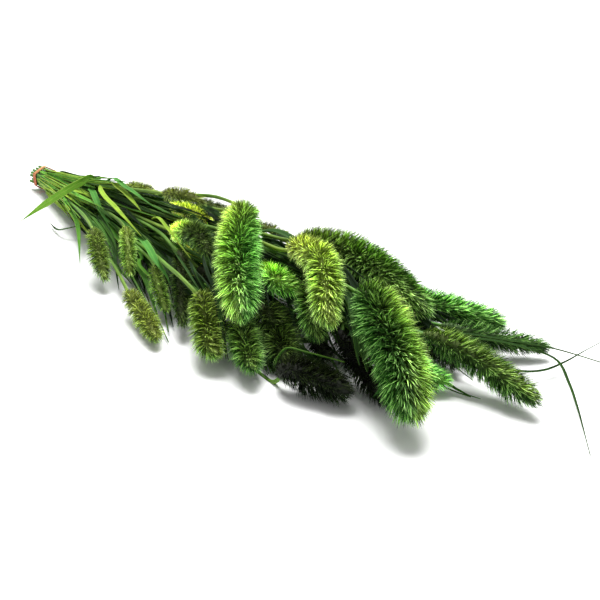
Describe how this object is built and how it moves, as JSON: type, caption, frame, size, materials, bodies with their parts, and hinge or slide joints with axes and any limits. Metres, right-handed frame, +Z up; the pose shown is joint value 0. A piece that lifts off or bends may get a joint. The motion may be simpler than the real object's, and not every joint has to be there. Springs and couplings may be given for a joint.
{
  "type": "tied bunch of foxtail grass",
  "caption": "Tied bunch of dyed foxtail grass lying on its side: thin stems from a rubber band fan out to drooping bristly heads, with narrow leaf blades between them.",
  "frame": {"origin": "middle of the bunch's outline seen from above, on the surface that it lies on", "axes": "+X runs along the bunch from the rubber band to the heads, +Y across it, +Z up"},
  "size_m": [0.6022, 0.1844, 0.0719],
  "materials": {
    "stalk_a": "dry, soft and matt: a dyed grass stem and its head of fine bristles",
    "stalk_b": "dry, soft and matt: a dyed grass stem and its head of fine bristles",
    "stalk_c": "dry, soft and matt: a dyed grass stem and its head of fine bristles",
    "stalk_d": "dry, soft and matt: a dyed grass stem and its head of fine bristles",
    "blade": "satin grass blade with fine lengthwise veins",
    "band": "smooth tan rubber, a little shiny"
  },
  "bodies": {
    "root": {"stalk_01": "stalk_a", "stalk_02": "stalk_b", "stalk_03": "stalk_c", "stalk_04": "stalk_d", "stalk_05": "stalk_a", "stalk_06": "stalk_b", "stalk_07": "stalk_c", "stalk_08": "stalk_d", "stalk_09": "stalk_a", "stalk_10": "stalk_b", "stalk_11": "stalk_c", "stalk_12": "stalk_d", "stalk_13": "stalk_a", "stalk_14": "stalk_b", "stalk_15": "stalk_c", "stalk_16": "stalk_d", "stalk_17": "stalk_a", "stalk_18": "stalk_b", "stalk_19": "stalk_c", "stalk_20": "stalk_d", "stalk_21": "stalk_a", "stalk_22": "stalk_b", "stalk_23": "stalk_c", "stalk_24": "stalk_d", "stalk_25": "stalk_a", "stalk_26": "stalk_b", "stalk_27": "stalk_c", "stalk_28": "stalk_d", "stalk_29": "stalk_a", "stalk_30": "stalk_b", "stalk_31": "stalk_c", "stalk_32": "stalk_d", "stalk_33": "stalk_a", "stalk_34": "stalk_b", "stalk_35": "stalk_c", "stalk_36": "stalk_d", "stalk_37": "stalk_a", "leaf_01": "blade", "leaf_02": "blade", "leaf_03": "blade", "leaf_04": "blade", "leaf_05": "blade", "leaf_06": "blade", "leaf_07": "blade", "leaf_08": "blade", "leaf_09": "blade", "leaf_10": "blade", "leaf_11": "blade", "leaf_12": "blade", "leaf_13": "blade", "leaf_14": "blade", "leaf_15": "blade", "leaf_16": "blade", "leaf_17": "blade", "leaf_18": "blade", "leaf_19": "blade", "band": "band"}
  },
  "joints": []
}
